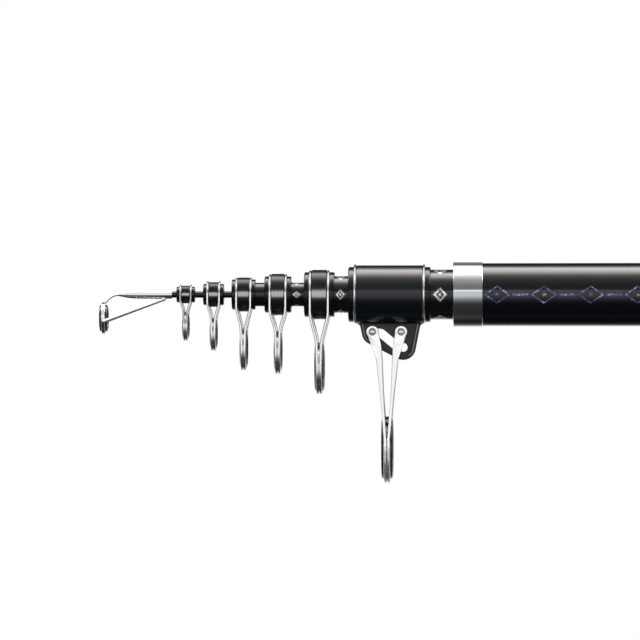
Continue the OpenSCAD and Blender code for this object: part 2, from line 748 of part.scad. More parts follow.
// The rim's outline: the bracket's outline with a fillet at each end of the band
module rim_outline() {
    p0 = [bracket_front, -bracket_top];
    p3 = [bracket_rear, -bracket_top];
    bracket_outline(0);
    flare(p0, at(nose, nose_r, tangent(p0, 0, nose, nose_r)), -1);
    flare(p3, at(slot_end, lobe_r, tangent(slot_end, lobe_r, p3, 0)), 1);
}

// The bent slot, from the front rivet to the middle of the lobe
module slot_outline() {
    for (i = [0 : len(slot_path) - 2]) {
        step = slot_path[i + 1] - slot_path[i];
        side = [-step[1], step[0]] / norm(step) * slot_w / 2;
        polygon([
            slot_path[i] - side, slot_path[i] + side, slot_path[i + 1] + side, slot_path[i + 1] - side
        ]);
    }
    for (p = slot_path)
        translate(p)
            circle(slot_w / 2);
}

module plate(t) {
    rotate([90, 0, 0])
        linear_extrude(height = t, center = true)
            children();
}

module fold_bracket() {
    trim_relief = fold_sleeve_d / 2 + fold_trim_d + 2 * glue_gap;
    color(charcoal)
        difference() {
            union() {
                plate(bracket_t - 2 * bracket_step)
                    rim_outline();
                plate(bracket_t)
                    bracket_outline(bracket_rim);
            }
            translate([fold_mid, 0, 0])
                rotate([0, 90, 0])
                    cylinder(r = fold_band_d / 2 + glue_gap, h = fold_len, center = true);
            for (s = [-1, 1])
                translate([fold_mid + s * (fold_band_len + fold_len) / 2, 0, 0])
                    rotate([0, 90, 0])
                        cylinder(r = trim_relief, h = fold_len, center = true);
            plate(2 * bracket_t)
                slot_outline();
            translate([pivot[0], 0, pivot[1]])
                rotate([90, 0, 0])
                    cylinder(r = rivet_r + pivot_clear, h = 2 * bracket_t, center = true);
        }
}

// A stirrup: two flat legs from their eyelets to the ring, and the rod that joins them under it
module stirrup(eye, s) {
    wire_x = ring_mid + s * stirrup_x;
    waist = ring_mid + s * waist_x;
    knee_x = eye[0] + (waist - eye[0]) * knee_share;
    knee_z = eye[1] - knee_drop;
    knee = [-leg_y, knee_z];
    centre = [0, -fold_drop];
    a = tangent(knee, 0, centre, stirrup_R);
    end = at(centre, stirrup_R, a);
    len = norm(end - knee);
    slim_run = len / 2;
    slim_x = waist + (wire_x - waist) * (slim_run - waist_run) / (len - waist_run);
    tilt = atan2(end[1] - knee[1], end[0] - knee[0]);
    near = 450 + a;
    tip_w = 0.75 * stirrup_r;
    color(steel)
        union() {
            arc(wire_x, -fold_drop, stirrup_R, stirrup_r, near, 2 * (360 - near));
            for (m = [0, 1])
                mirror([0, m, 0]) {
                    translate([0, -leg_y, 0])
                        plate(leg_t)
                            difference() {
                                union() {
                                    translate(eye)
                                        circle(eyelet_r);
                                    polygon([
                                        [eye[0] - eyelet_r * 0.97, eye[1] - 0.2], [knee_x - knee_w / 2, knee_z],
                                        [knee_x + knee_w / 2, knee_z], [eye[0] + eyelet_r * 0.97, eye[1] - 0.2]
                                    ]);
                                }
                                translate(eye)
                                    circle(rivet_r + glue_gap);
                            }
                    translate([knee_x - knee_w / 2 + 0.1, knee[0], knee[1]])
                        rotate([0, 90, 0])
                            cylinder(r = leg_t * 0.56, h = knee_w - 0.2);
                    translate([0, knee[0], knee[1]])
                        rotate([tilt, 0, 0])
                            linear_extrude(height = leg_t, center = true)
                                polygon([
                                    [knee_x - knee_w / 2, 0], [waist - waist_w / 2, waist_run],
                                    [slim_x - slim_w / 2, slim_run], [wire_x - tip_w, len - 0.1],
                                    [wire_x + tip_w, len - 0.1], [slim_x + slim_w / 2, slim_run],
                                    [waist + waist_w / 2, waist_run], [knee_x + knee_w / 2, 0]
                                ]);
                    ball([wire_x, end[0], end[1]], stirrup_r);
                }
        }
}

module front_stirrup() {
    stirrup(front_rivet, -1);
}

module rear_stirrup() {
    stirrup(pivot, 1);
}

module fold_bezel() {
    color(bright)
        round_tube_at(ring_mid, -fold_drop, bezel_w, bezel_r - holder_wall, bezel_r, 0.15);
}

module fold_ring() {
    ceramic_ring(ring_mid, -fold_drop, bezel_r - holder_wall - glue_gap, fold_ceramic, fold_ceramic_w);
}

// Half of a rivet along -Y: a shank between two depths, and a domed head outside the leg
module half_rivet(p, y0) {
    face = leg_y + leg_t / 2 + glue_gap;
    dome_r = (rivet_head_r * rivet_head_r / rivet_head_h + rivet_head_h) / 2;
    translate([p[0], 0, p[1]])
        rotate([90, 0, 0])
            rotate_extrude() {
                translate([0, y0])
                    square([rivet_r, face - y0 + 0.1]);
                intersection() {
                    translate([0, face + rivet_head_h - dome_r])
                        circle(dome_r);
                    translate([0, face])
                        square([rivet_head_r, rivet_head_h]);
                }
            }
}

module pivot_rivet() {
    color(bright)
        for (m = [0, 1])
            mirror([0, m, 0])
                half_rivet(pivot, -0.1);
}

module front_rivets() {
    color(bright)
        for (m = [0, 1])
            mirror([0, m, 0])
                half_rivet(front_rivet, leg_y - leg_t / 2);
}

// Fittings of the butt section
module mouth_ferrule() {
    bore = butt_od(mouth_x + ferrule_len) / 2 + glue_gap;
    color(bright)
        difference() {
            round_tube(mouth_x, mouth_x + ferrule_len, butt_d / 2 - butt_wall + 0.1, ferrule_d / 2, 0.3);
            translate([mouth_x + mouth_lip - glue_gap, 0, 0])
                rotate([0, 90, 0])
                    cylinder(r = bore, h = ferrule_len);
        }
}

module fore_check() {
    x1 = seat_x0 - glue_gap;
    x0 = x1 - fore_check_len;
    bore = butt_od(x1) / 2 + glue_gap;
    color(bright)
        lathe([[x0, bore], [x0, bore + 0.5], [x1 - 2, seat_r - 0.4], [x1, seat_r - 0.4], [x1, bore]]);
}

module seat_tube() {
    bore = butt_od(seat_x1) / 2 + glue_gap;
    flat_x0 = fixed_hood_x + hood_len;
    color(black)
        difference() {
            round_tube(seat_x0, seat_x1, bore, seat_r, 0.4);
            translate([flat_x0, -seat_d, -seat_d - flat_drop])
                cube([foot_gap, 2 * seat_d, seat_d]);
        }
}

// Cross section of a hood: a ring round the seat, with a rounded lobe below for the reel's foot
module hood_outline() {
    half = pocket_w / 2 + hood_wall;
    floor_z = pocket_drop + hood_wall;
    corner = 3;
    circle(hood_bore + hood_wall);
    translate([-half, -floor_z + corner])
        square([2 * half, floor_z - corner]);
    translate([-half + corner, -floor_z])
        square([2 * half - 2 * corner, floor_z]);
    for (s = [-1, 1])
        translate([s * (half - corner), -floor_z + corner])
            circle(corner);
}

// A hood from x = 0, open towards +X; its closed end is drawn in to a nose
module hood(bore) {
    nose_x = hood_len * 0.6;
    tall = pocket_drop + hood_wall + 1;
    color(black)
        difference() {
            intersection() {
                rotate([90, 0, 90])
                    linear_extrude(height = hood_len)
                        hood_outline();
                lathe([
                    [-1, 0], [0, hood_bore + hood_wall], [nose_x, tall + 1.5],
                    [hood_len, tall + 1.5], [hood_len, 0]
                ]);
            }
            rotate([0, 90, 0])
                cylinder(r = bore, h = 3 * hood_len, center = true);
            translate([hood_len - pocket_depth, -pocket_w / 2, -pocket_drop])
                cube([hood_len, pocket_w, pocket_drop]);
        }
}

module fixed_hood() {
    translate([fixed_hood_x, 0, 0])
        hood(seat_r + glue_gap);
}

module moving_hood() {
    translate([moving_hood_x + hood_len, 0, 0])
        rotate([0, 0, 180])
            hood(hood_bore);
}

module lock_nut() {
    flute_r = 1.4;
    color(black)
        difference() {
            round_tube(nut_x, nut_x + nut_len, hood_bore, nut_d / 2, 0.5);
            for (i = [0 : nut_flutes - 1])
                rotate([i * 360 / nut_flutes, 0, 0])
                    translate([nut_x + 2, 0, nut_d / 2 + flute_r - 0.6])
                        rotate([0, 90, 0])
                            cylinder(r = flute_r, h = nut_len);
        }
}

module rear_check() {
    x0 = grip_x0 - glue_gap - rear_check_len;
    bore = butt_od(grip_x0) / 2 + glue_gap;
    color(bright)
        round_tube(x0, x0 + rear_check_len, bore, seat_r - 0.1, 0.6);
}

module rear_grip() {
    bore0 = butt_od(grip_x0) / 2 + glue_gap;
    bore1 = butt_end_d / 2 + glue_gap;
    r = grip_d / 2;
    color(rubber)
        lathe([
            [grip_x0, bore0], [grip_x0, r - 0.5], [grip_x0 + 0.5, r],
            [grip_x1 - 0.5, r], [grip_x1, r - 0.5], [grip_x1, bore1]
        ]);
}

// The butt's end
module butt_insert() {
    color(steel)
        lathe([
            [grip_x1 - insert_len, insert_bore], [grip_x1 - insert_len, insert_r],
            [grip_x1, insert_r], [grip_x1, insert_bore]
        ]);
}

module cap_plug() {
    groove_x = grip_x1 - 3;
    groove_r = insert_bore - oring_d - 2 * glue_gap;
    flange_x = grip_x1 + rest_gap;
    color(steel)
        lathe([
            [grip_x1 - plug_len, 0], [grip_x1 - plug_len, plug_r],
            [groove_x - oring_d * 0.6, plug_r], [groove_x - oring_d * 0.6, groove_r],
            [groove_x + oring_d * 0.6, groove_r], [groove_x + oring_d * 0.6, plug_r],
            [flange_x, plug_r], [flange_x, flange_r], [flange_x + flange_t, flange_r], [flange_x + flange_t, 0]
        ]);
}

module cap_oring() {
    color(rubber)
        translate([grip_x1 - 3, 0, 0])
            rotate([0, 90, 0])
                rotate_extrude()
                    translate([insert_bore - glue_gap - oring_d / 2, 0])
                        circle(oring_d / 2);
}

module butt_cap() {
    x0 = grip_x1 + rest_gap;
    edge = 3;
    color(rubber)
        difference() {
            round_tube(x0 - 2 * edge, x0 + cap_len, 0, cap_r, edge);
            translate([x0 - 50, 0, 0])
                rotate([0, 90, 0])
                    cylinder(r = 2 * cap_r, h = 50);
            translate([x0 - 1, 0, 0])
                rotate([0, 90, 0])
                    cylinder(r = flange_r + glue_gap, h = flange_t + glue_gap + 1);
        }
}

module cushion() {
    x1 = grip_x1 - plug_len - glue_gap;
    color(rubber)
        lathe([[x1 - cushion_t, 0], [x1 - cushion_t, plug_r - 0.3], [x1, plug_r - 0.3], [x1, 0]]);
}

tip_section();
second_section();
third_section();
fourth_section();
butt_section();
tip_top_frame();
tip_top_ring();
for (i = [0 : 4]) {
    guide_sleeve(i);
    guide_band(i);
    guide_frame(i);
    guide_ring(i);
}
fold_sleeve();
fold_band();
fold_trim(-1);  // fold_front_trim
fold_trim(1);  // fold_rear_trim
fold_bracket();
front_stirrup();
rear_stirrup();
fold_bezel();
fold_ring();
pivot_rivet();
front_rivets();
mouth_ferrule();
fore_check();
seat_tube();
fixed_hood();
moving_hood();
lock_nut();
rear_check();
rear_grip();
butt_insert();
butt_cap();
cap_plug();
cap_oring();
cushion();
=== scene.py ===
"""Looks of a collapsed telescopic fishing rod: finishes, finely worked pieces and a studio."""
import json
import math

import bmesh
import bpy
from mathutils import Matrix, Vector


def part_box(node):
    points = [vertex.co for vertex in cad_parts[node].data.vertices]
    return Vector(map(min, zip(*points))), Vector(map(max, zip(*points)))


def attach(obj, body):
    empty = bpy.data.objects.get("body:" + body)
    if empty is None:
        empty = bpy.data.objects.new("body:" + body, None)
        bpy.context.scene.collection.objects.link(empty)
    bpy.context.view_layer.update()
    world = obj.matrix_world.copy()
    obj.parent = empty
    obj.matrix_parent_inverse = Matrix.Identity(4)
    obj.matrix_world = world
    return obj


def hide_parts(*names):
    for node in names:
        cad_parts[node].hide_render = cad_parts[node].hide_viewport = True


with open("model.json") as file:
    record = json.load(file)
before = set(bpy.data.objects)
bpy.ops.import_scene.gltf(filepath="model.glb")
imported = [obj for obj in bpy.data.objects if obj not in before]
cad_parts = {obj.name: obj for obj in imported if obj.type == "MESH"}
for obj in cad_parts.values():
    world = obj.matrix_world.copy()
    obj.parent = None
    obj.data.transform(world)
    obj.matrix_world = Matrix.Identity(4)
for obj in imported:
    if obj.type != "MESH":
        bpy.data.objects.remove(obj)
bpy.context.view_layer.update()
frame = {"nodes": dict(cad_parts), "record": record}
RECORD = frame["record"]
SLOT = {part["node"]: part["material_slot"] for part in RECORD["subparts"]}
BODY = {node: body for body, nodes in RECORD["behaviour"]["bodies"].items() for node in nodes}
MM = 0.001
MICRON = 0.001 * MM
TURN = 2 * math.pi
EVEN = (1, 1, 1)
WHITE = (1, 1, 1)
NEAR_AXIS = 0.01 * MM
GUIDES = range(1, 6)

# Degrees from which an edge of a turned or a worked piece is shaded sharp
TURNED_ANGLE = 40
EDGE_ANGLE = 35


# Materials
class Nodes:
    """A shader's node tree, built from its first nodes to its last."""

    def __init__(self, tree):
        self.tree = tree

    def node(self, kind, inputs, output=0, **settings):
        """Adds a node with its settings and inputs, and gives one of its outputs."""
        made = self.tree.nodes.new("ShaderNode" + kind)
        for key, value in settings.items():
            setattr(made, key, value)
        for key, value in inputs.items():
            if isinstance(value, bpy.types.NodeSocket):
                self.tree.links.new(value, made.inputs[key])
            else:
                made.inputs[key].default_value = value
        return made.outputs[output] if made.outputs else None

    def math(self, operation, a, b=0.0, c=0.0):
        return self.node("Math", {0: a, 1: b, 2: c}, operation=operation)


class Finish(Nodes):
    """A principled material: even values go on its own sockets, and nodes feed the rest."""

    def __init__(self, name, **values):
        self.material = bpy.data.materials.new(name)
        self.material.use_nodes = True
        super().__init__(self.material.node_tree)
        self.shader = self.tree.nodes["Principled BSDF"]
        for socket, value in values.items():
            self.shader.inputs[socket.replace("_", " ")].default_value = value

    def feed(self, socket, value):
        self.tree.links.new(value, self.shader.inputs[socket])

    def place(self, stretch=EVEN):
        """Coordinates on the object in metres, times a factor along each axis."""
        spot = self.node("TexCoord", {}, "Object")
        return self.node("Mapping", {"Vector": spot, "Scale": stretch})

    def turned_place(self):
        """On a turned piece: metres along the rod, and the turn about it from 0 to 1."""
        spot = self.node("UVMap", {}, uv_map="turned")
        return [self.node("SeparateXYZ", {"Vector": spot}, axis) for axis in "XY"]

    def noise(self, scale, stretch=EVEN, detail=3.0, rough=0.55):
        spot = self.place(stretch)
        inputs = {"Vector": spot, "Scale": scale, "Detail": detail, "Roughness": rough}
        return self.node("TexNoise", inputs)

    def times(self, a, b):
        return self.math("MULTIPLY", a, b)

    def either(self, a, b):
        return self.math("MAXIMUM", a, b)

    def sawtooth(self, value):
        """Runs from -1 to 1 over each whole step of a value."""
        return self.math("MULTIPLY_ADD", self.math("FRACT", value), 2.0, -1.0)

    def spread(self, value, low, high, from_low=0.0, from_high=1.0):
        """A value carried from one range into another, eased at both ends."""
        ranges = {"From Min": from_low, "From Max": from_high, "To Min": low, "To Max": high}
        return self.node("MapRange", {"Value": value, **ranges}, interpolation_type="SMOOTHSTEP")

    def rise(self, value, start, end):
        return self.spread(value, 0.0, 1.0, start, end)

    def fall(self, value, start, end):
        return self.spread(value, 1.0, 0.0, start, end)

    def stripe(self, value, start, full, fade, end):
        """1 from full to fade, and 0 before the start and past the end."""
        return self.times(self.rise(value, start, full), self.fall(value, fade, end))

    def diamond(self, p, q):
        """0 in the middle of a diamond and 1 at its edge, where p or q is 1 at its corners."""
        return self.math("ADD", self.math("ABSOLUTE", p), self.math("ABSOLUTE", q))

    def mix(self, share, a, b):
        return self.node("MixRGB", {"Fac": share, "Color1": a, "Color2": b})

    def tint(self, share, a, b):
        """The base colour runs between two colours."""
        self.feed("Base Color", self.mix(share, rgba(a), rgba(b)))

    def bump(self, height, distance, strength):
        relief = {"Height": height, "Distance": distance, "Strength": strength}
        self.feed("Normal", self.node("Bump", relief))


def rgba(colour):
    return (*colour, 1.0)


def grained(
    name, grain, low, high, rough, rough_grain=None, relief=None, relief_grain=None, **values
):
    """A finish between two colours. Its gloss and relief follow the colour's grain or their own."""
    f = Finish(name, **values)
    shade = f.noise(**grain)
    f.tint(shade, low, high)
    f.feed("Roughness", f.spread(f.noise(**rough_grain) if rough_grain else shade, *rough))
    if relief:
        f.bump(f.noise(**relief_grain) if relief_grain else shade, *relief)
    return f.material


def plated(name, low, high, rough, metallic=1.0):
    return grained(
        name, dict(scale=260, detail=4), low, high,
        rough=rough, rough_grain=dict(scale=1400, stretch=(0.2, 1, 1)),
        relief=(0.5 * MICRON, 0.15), relief_grain=dict(scale=700, detail=2), Metallic=metallic,
    )


def satin_band(name, low, high, specular):
    return grained(
        name, dict(scale=2600, detail=2), low, high,
        rough=(0.17, 0.24), rough_grain=dict(scale=1300, stretch=(0.3, 1, 1)),
        relief=(2 * MICRON, 0.3), Specular_IOR_Level=specular,
    )


def moulded_black(name, low, high):
    return grained(
        name, dict(scale=1500, detail=5, rough=0.7), low, high,
        rough=(0.36, 0.55), relief=(40 * MICRON, 0.35), Specular_IOR_Level=0.3,
    )


def open_foam():
    f = Finish("open_foam", Specular_IOR_Level=0.2)
    cells = f.node("TexVoronoi", {"Vector": f.place(), "Scale": 1300.0})
    f.tint(f.rise(cells, 0.1, 0.6), (0.02, 0.02, 0.02), (0.075, 0.075, 0.075))
    f.feed("Roughness", f.spread(cells, 0.95, 0.8))
    f.bump(cells, 200 * MICRON, 0.6)
    return f.material


CARBON = ((0.0015, 0.0015, 0.002), (0.004, 0.004, 0.0045))
NAVY = ((0.0008, 0.0007, 0.0015), (0.002, 0.0018, 0.004))


class Blank(Finish):
    """Clear-lacquered carbon, with the marks of a spiral tape under its gloss."""

    tape_pitch = 2.4 * MM
    fibre_relief = 0.3

    def __init__(self, name, colours):
        super().__init__(name, Specular_IOR_Level=0.5)
        self.along, self.turn = self.turned_place()
        wound = self.math("ADD", self.math("DIVIDE", self.along, self.tape_pitch), self.turn)
        groove = self.spread(self.math("PINGPONG", wound, 0.5), 0, 0.5, 0.02, 0.2)
        fibre = self.noise(500, (6, 1, 1), 4)
        self.feed("Roughness", self.spread(fibre, 0.09, 0.17))
        height = self.math("ADD", groove, self.times(fibre, self.fibre_relief))
        self.bump(height, 4 * MICRON, 0.3)
        self.colour = self.mix(fibre, *map(rgba, colours))


def plain_blank():
    f = Blank("plain_blank", CARBON)
    f.feed("Base Color", f.colour)
    return f.material


def silver_blank(name, centre, half_length, around):
    """A blank with a ring of silver diamonds printed round it at one place along the rod."""
    half_height = 0.5
    f = Blank(name, CARBON)
    p = f.math("DIVIDE", f.math("SUBTRACT", f.along, centre), half_length)
    q = f.math("DIVIDE", f.sawtooth(f.times(f.turn, around)), half_height)
    reach = f.diamond(p, q)
    outline = f.stripe(reach, 0.5, 0.58, 0.9, 0.98)
    heart = f.fall(reach, 0.2, 0.3)
    worn = f.spread(f.noise(1500, detail=4), 0.2, 1.0, 0.34, 0.56)
    silver = f.times(f.either(outline, heart), worn)
    f.feed("Base Color", f.mix(silver, f.colour, rgba((0.72, 0.72, 0.73))))
    f.feed("Metallic", f.times(silver, 0.75))
    return f.material


def violet_butt():
    """Navy-black lacquer with chains of violet diamonds along the rod."""
    wave = 17 * MM
    chains = 3
    half_length = 0.56
    half_height = 0.27
    f = Blank("violet_butt", NAVY)
    p = f.sawtooth(f.math("DIVIDE", f.along, wave))
    q = f.math("DIVIDE", f.sawtooth(f.times(f.turn, chains)), half_height)
    reach = f.diamond(f.math("DIVIDE", p, half_length), q)
    outline = f.stripe(reach, 0.8, 0.88, 0.98, 1.06)
    heart = f.fall(reach, 0.14, 0.26)
    before = f.math("ABSOLUTE", p)
    beside = f.math("ABSOLUTE", q)
    dash = f.times(f.rise(before, 0.62, 0.7), f.fall(beside, 0.06, 0.16))
    glow = f.times(f.rise(before, 0.4, 0.8), f.fall(beside, 0.1, 0.7))
    glint = f.spread(f.noise(620, detail=4), 0.3, 1.0, 0.4, 0.62)
    ink = f.either(f.times(f.either(outline, heart), glint), f.times(dash, 0.7))
    ground = f.mix(f.times(glow, 0.6), f.colour, rgba((0.02, 0.017, 0.06)))
    patch = f.rise(f.noise(900), 0.48, 0.66)
    violet = f.mix(patch, rgba((0.08, 0.07, 0.24)), rgba((0.44, 0.42, 0.66)))
    f.feed("Base Color", f.mix(ink, ground, violet))
    f.feed("Metallic", f.times(ink, 0.3))
    return f.material


# A finish for each material slot of the record
FINISH = {
    "blank": plain_blank(),
    "ceramic": grained(
        "dark_ceramic", dict(scale=700), (0.005, 0.005, 0.0055), (0.013, 0.013, 0.0135),
        rough=(0.1, 0.2), Specular_IOR_Level=0.6,
    ),
    "chrome": plated("chrome", (0.86, 0.86, 0.87), (0.91, 0.91, 0.92), (0.17, 0.24)),
    "spring_steel": grained(
        "spring_steel", dict(scale=700, stretch=(1, 1, 0.05), detail=2),
        (0.88, 0.88, 0.88), (0.92, 0.92, 0.92),
        rough=(0.24, 0.31), relief=(0.5 * MICRON, 0.15), Metallic=0.9,
    ),
    "lacquer": grained(
        "gloss_lacquer", dict(scale=420, detail=4),
        (0.0015, 0.0015, 0.002), (0.0035, 0.0035, 0.004),
        rough=(0.1, 0.17), rough_grain=dict(scale=900), relief=(4 * MICRON, 0.3),
        Specular_IOR_Level=0.36,
    ),
    "band": satin_band(
        "satin_band", (0.0005, 0.002, 0.003), (0.0015, 0.0035, 0.005), specular=0.5
    ),
    "bracket": grained(
        "bracket_paint", dict(scale=3200, detail=2),
        (0.006, 0.0055, 0.0065), (0.012, 0.0115, 0.013),
        rough=(0.24, 0.36), rough_grain=dict(scale=600), relief=(3 * MICRON, 0.3),
        Specular_IOR_Level=0.4,
    ),
    "check_ring": grained(
        "gunmetal", dict(scale=300, stretch=(30, 1, 1), detail=4),
        (0.2, 0.2, 0.215), (0.3, 0.3, 0.315),
        rough=(0.22, 0.36), relief=(10 * MICRON, 0.4), Metallic=1.0,
    ),
    "seat": moulded_black("moulded_seat", (0.008, 0.008, 0.009), (0.018, 0.018, 0.019)),
    "nut": moulded_black("moulded_nut", (0.011, 0.011, 0.012), (0.024, 0.024, 0.025)),
    "grip": grained(
        "shrink_tube", dict(scale=2200, detail=4), (0.008, 0.008, 0.008), (0.019, 0.019, 0.019),
        rough=(0.5, 0.72), relief=(50 * MICRON, 0.5), Specular_IOR_Level=0.28,
    ),
    "insert": grained(
        "turned_aluminium", dict(scale=260, stretch=(40, 1, 1), detail=3),
        (0.55, 0.55, 0.57), (0.7, 0.7, 0.72),
        rough=(0.18, 0.32), relief=(10 * MICRON, 0.5), Metallic=1.0,
    ),
    "rubber": grained(
        "matt_rubber", dict(scale=1800, detail=4), (0.012, 0.012, 0.012), (0.028, 0.028, 0.028),
        rough=(0.58, 0.8), relief=(60 * MICRON, 0.5), Specular_IOR_Level=0.3,
    ),
    "foam": open_foam(),
}
# A pale grey for the bracket's bevelled plate edges: painted highlight, standing in for the light
# those edges catch.
EDGE_HIGHLIGHT_PAINT = grained(
    "painted_edge_highlight", dict(scale=2400, detail=2), (0.36, 0.36, 0.37), (0.46, 0.46, 0.47),
    rough=(0.3, 0.42), Metallic=0.4,
)
# A darker steel for the stirrups' rounded leg edges: painted shade that outlines the legs.
LEG_EDGE_SHADE = plated("leg_edge_painted_shade", (0.4, 0.4, 0.41), (0.5, 0.5, 0.51), (0.2, 0.28))
RIVET = plated("rivet_steel", (0.8, 0.8, 0.81), (0.88, 0.88, 0.89), (0.12, 0.18), metallic=0.75)
GUIDE_BAND = satin_band(
    "guide_band", (0.0035, 0.0037, 0.005), (0.006, 0.0062, 0.008), specular=0.22
)
GUIDE_BANDS = [f"guide_{number}_band" for number in GUIDES]

# CAD nodes that differ from the finish of their slot
OWN_FINISH = {
    "mouth_ferrule": plated("dark_chrome", (0.49, 0.5, 0.51), (0.55, 0.56, 0.57), (0.06, 0.1)),
    # The bezel is plated darker than the other chrome: painted shade for where it sits shaded
    # between the stirrups.
    "fold_bezel": plated("bezel_painted_shade", (0.16, 0.16, 0.17), (0.22, 0.22, 0.23), (0.14, 0.2)),
    "tip_top_frame": plated("tip_chrome", (0.7, 0.71, 0.72), (0.77, 0.78, 0.79), (0.1, 0.15)),
    "pivot_rivet": RIVET,
    "front_rivets": RIVET,
    **{band: GUIDE_BAND for band in GUIDE_BANDS},
}


# Pieces
def cad(*nodes):
    """The objects of some CAD nodes."""
    return [frame["nodes"][node] for node in nodes]


def add_object(name, data):
    obj = bpy.data.objects.new(name, data)
    bpy.context.scene.collection.objects.link(obj)
    return obj


def mesh_from(build, name):
    mesh = bpy.data.meshes.new(name)
    build.to_mesh(mesh)
    build.free()
    return mesh


def smooth(mesh, angle=TURNED_ANGLE):
    """Rounds the shading, but not across edges sharper than an angle in degrees."""
    mesh.shade_smooth()
    mesh.set_sharp_from_angle(angle=math.radians(angle))


def dress(piece, node, material=None):
    """A new piece stands for a CAD node: it rides on the node's body and takes the node's slot."""
    piece.data.materials.append(material or FINISH[SLOT[node]])
    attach(piece, BODY[node])
    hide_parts(node)
    return piece


def straight_corners(chain, slack=0.003 * MM):
    """The points of a chain of (x, radius) where it bends."""
    kept = [chain[0]]
    for here, after in zip(chain[1:], chain[2:]):
        x0, r0 = kept[-1]
        share = (here[0] - x0) / (after[0] - x0)
        if abs(r0 + (after[1] - r0) * share - here[1]) > slack:
            kept.append(here)
    return kept + [chain[-1]]


def turned_walls(node):
    """Outer and inner walls of a turned CAD node, as chains of (x, radius) along the rod."""
    end_face = 0.5
    mesh = frame["nodes"][node].data
    walls = ({}, {})
    for face in mesh.polygons:
        out = face.normal.y * face.center.y + face.normal.z * face.center.z
        facing = out / face.center.yz.length
        if abs(facing) < end_face:
            continue
        for index in face.vertices:
            spot = mesh.vertices[index].co
            walls[facing < 0][round(spot.x, 6)] = spot.yz.length
    return [straight_corners(sorted(wall.items())) for wall in walls]


def lathe(name, profile, segments, shape=None, closed=True):
    """A body of revolution about X from (x, radius) points; its UV is the place and the turn."""
    build = bmesh.new()
    uv = build.loops.layers.uv.new("turned")
    rings = []
    for x, radius in profile:
        ring = []
        for step in range(segments):
            angle = TURN * step / segments
            r = shape(x, angle, radius) if shape else radius
            ring.append(build.verts.new((x, r * math.cos(angle), r * math.sin(angle))))
        rings.append((x, ring))
    pairs = list(zip(rings, rings[1:]))
    if closed:
        pairs.append((rings[-1], rings[0]))
    for (x0, low), (x1, high) in pairs:
        for step in range(segments):
            after = (step + 1) % segments
            face = build.faces.new((low[step], low[after], high[after], high[step]))
            turns = (step, step + 1, step + 1, step)
            for loop, x, turn in zip(face.loops, (x0, x0, x1, x1), turns):
                loop[uv].uv = (x, turn / segments)
    if not closed:
        for _, ring in (rings[0], rings[-1]):
            build.faces.new(ring)
    bmesh.ops.recalc_face_normals(build, faces=build.faces)
    mesh = mesh_from(build, name)
    smooth(mesh)
    return add_object(name, mesh)


def stations(x0, x1, step):
    """Evenly spaced places from x0 to x1, about a step apart."""
    count = max(1, round((x1 - x0) / step))
    return [x0 + (x1 - x0) * i / count for i in range(count + 1)]


def radius_at(chain, x):
    for (x0, r0), (x1, r1) in zip(chain, chain[1:]):
        if x <= x1:
            return r0 + (r1 - r0) * (x - x0) / (x1 - x0)
    return chain[-1][1]


def fine_blank(node, name, segments, material):
    """A blank turned again at a finer division than its CAD mesh."""
    outer, inner = turned_walls(node)
    dress(lathe(name, outer + inner[::-1], segments), node, material)


def mouth_print(node, behind, size):
    """The silver print on the short stretch of a blank that shows behind a guide's sleeve."""
    set_back = 1.25
    around = 5
    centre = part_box(behind)[1].x + size * set_back
    return silver_blank(node + "_print", centre, size, around)


def fine_tip():
    """The tip section: solid in front, hollow at its root."""
    segments = 72
    outer, inner = turned_walls("tip_section")
    start = (outer[0][0], NEAR_AXIS)
    end = (inner[0][0], NEAR_AXIS)
    profile = [start] + outer + inner[::-1] + [end]
    dress(lathe("tip_blank", profile, segments, closed=False), "tip_section")


def wrapped_grip():
    """Shrink tube over a cord wound both ways, so its ridges cross in diamonds."""
    lead = 0.085
    starts = 7
    relief = 0.45 * MM
    ridge_width = 0.3
    ridge_fullness = 0.7
    end_land = 4 * MM
    land_slope = 0.6 * MM
    wound_from = 5 * MM
    step = 0.9 * MM
    skin = 0.2 * MM
    segments = 168
    outer, inner = turned_walls("rear_grip")
    x0 = outer[0][0]
    x1 = outer[-1][0]

    def ridge(phase):
        away = abs(phase % 1 - 0.5) * 2
        return max(0.0, 1 - away / ridge_width) ** ridge_fullness

    def shape(x, angle, radius):
        inside = radius < radius_at(outer, x) - skin
        if inside or x < x0 + end_land or x > x1 - end_land:
            return radius
        turn = angle / TURN
        raised = max(ridge(starts * (x / lead + turn)), ridge(starts * (x / lead - turn)))
        return radius - relief * (1 - raised)

    lands = (end_land, end_land + land_slope)
    xs = [x for x, _ in outer] + [x0 + land for land in lands] + [x1 - land for land in lands]
    xs = sorted(xs + stations(x0 + wound_from, x1 - wound_from, step))
    profile = [(x, radius_at(outer, x)) for x in xs] + inner[::-1]
    dress(lathe("grip_wrap", profile, segments, shape), "rear_grip")


